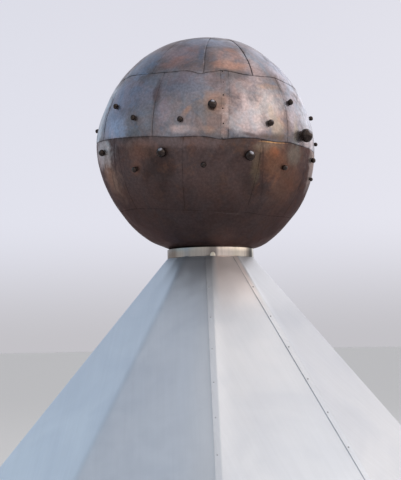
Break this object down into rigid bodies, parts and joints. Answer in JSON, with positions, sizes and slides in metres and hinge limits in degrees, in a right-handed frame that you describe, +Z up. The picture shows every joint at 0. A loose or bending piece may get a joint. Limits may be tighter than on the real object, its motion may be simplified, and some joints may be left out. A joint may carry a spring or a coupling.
{
  "type": "studded sheet metal ball monument on a ten-sided pedestal",
  "caption": "Hollow ball of seamed copper sheets with domed studs, on a steel collar and a tapering many-sided pedestal of lapped metal panels, open underneath.",
  "frame": {"origin": "on the ground, under the pedestal's axis", "axes": "+Z up along the pedestal's axis, -Y towards the front, +X to the right seen from the front"},
  "size_m": [3.9382, 4.097, 3.549],
  "materials": {
    "copper": "weathered copper sheet, blue-grey and brown sheen",
    "dark_copper": "dark brown patina on copper sheet",
    "stud_bronze": "dark domed studs, worn bright on top",
    "collar_steel": "brushed",
    "pedestal_sheet": "matt, slightly streaked"
  },
  "bodies": {
    "root": {"crown_gore_01": "copper", "crown_gore_02": "copper", "crown_gore_03": "copper", "crown_gore_04": "copper", "crown_gore_05": "copper", "crown_gore_06": "copper", "crown_gore_07": "copper", "crown_gore_08": "copper", "crown_gore_09": "copper", "crown_gore_10": "copper", "crown_gore_11": "copper", "crown_gore_12": "copper", "upper_panel_01": "copper", "upper_panel_02": "copper", "upper_panel_03": "copper", "upper_panel_04": "copper", "upper_panel_05": "copper", "upper_panel_06": "copper", "upper_panel_07": "copper", "upper_panel_08": "copper", "upper_panel_09": "copper", "upper_panel_10": "copper", "lower_panel_01": "dark_copper", "lower_panel_02": "dark_copper", "lower_panel_03": "dark_copper", "lower_panel_04": "dark_copper", "lower_panel_05": "dark_copper", "lower_panel_06": "dark_copper", "lower_panel_07": "dark_copper", "lower_panel_08": "dark_copper", "lower_panel_09": "dark_copper", "lower_panel_10": "dark_copper", "bottom_bowl": "dark_copper", "collar": "collar_steel", "top_plate": "pedestal_sheet", "pedestal_panel_01": "pedestal_sheet", "pedestal_panel_02": "pedestal_sheet", "pedestal_panel_03": "pedestal_sheet", "pedestal_panel_04": "pedestal_sheet", "pedestal_panel_05": "pedestal_sheet", "pedestal_panel_06": "pedestal_sheet"}
  },
  "joints": []
}
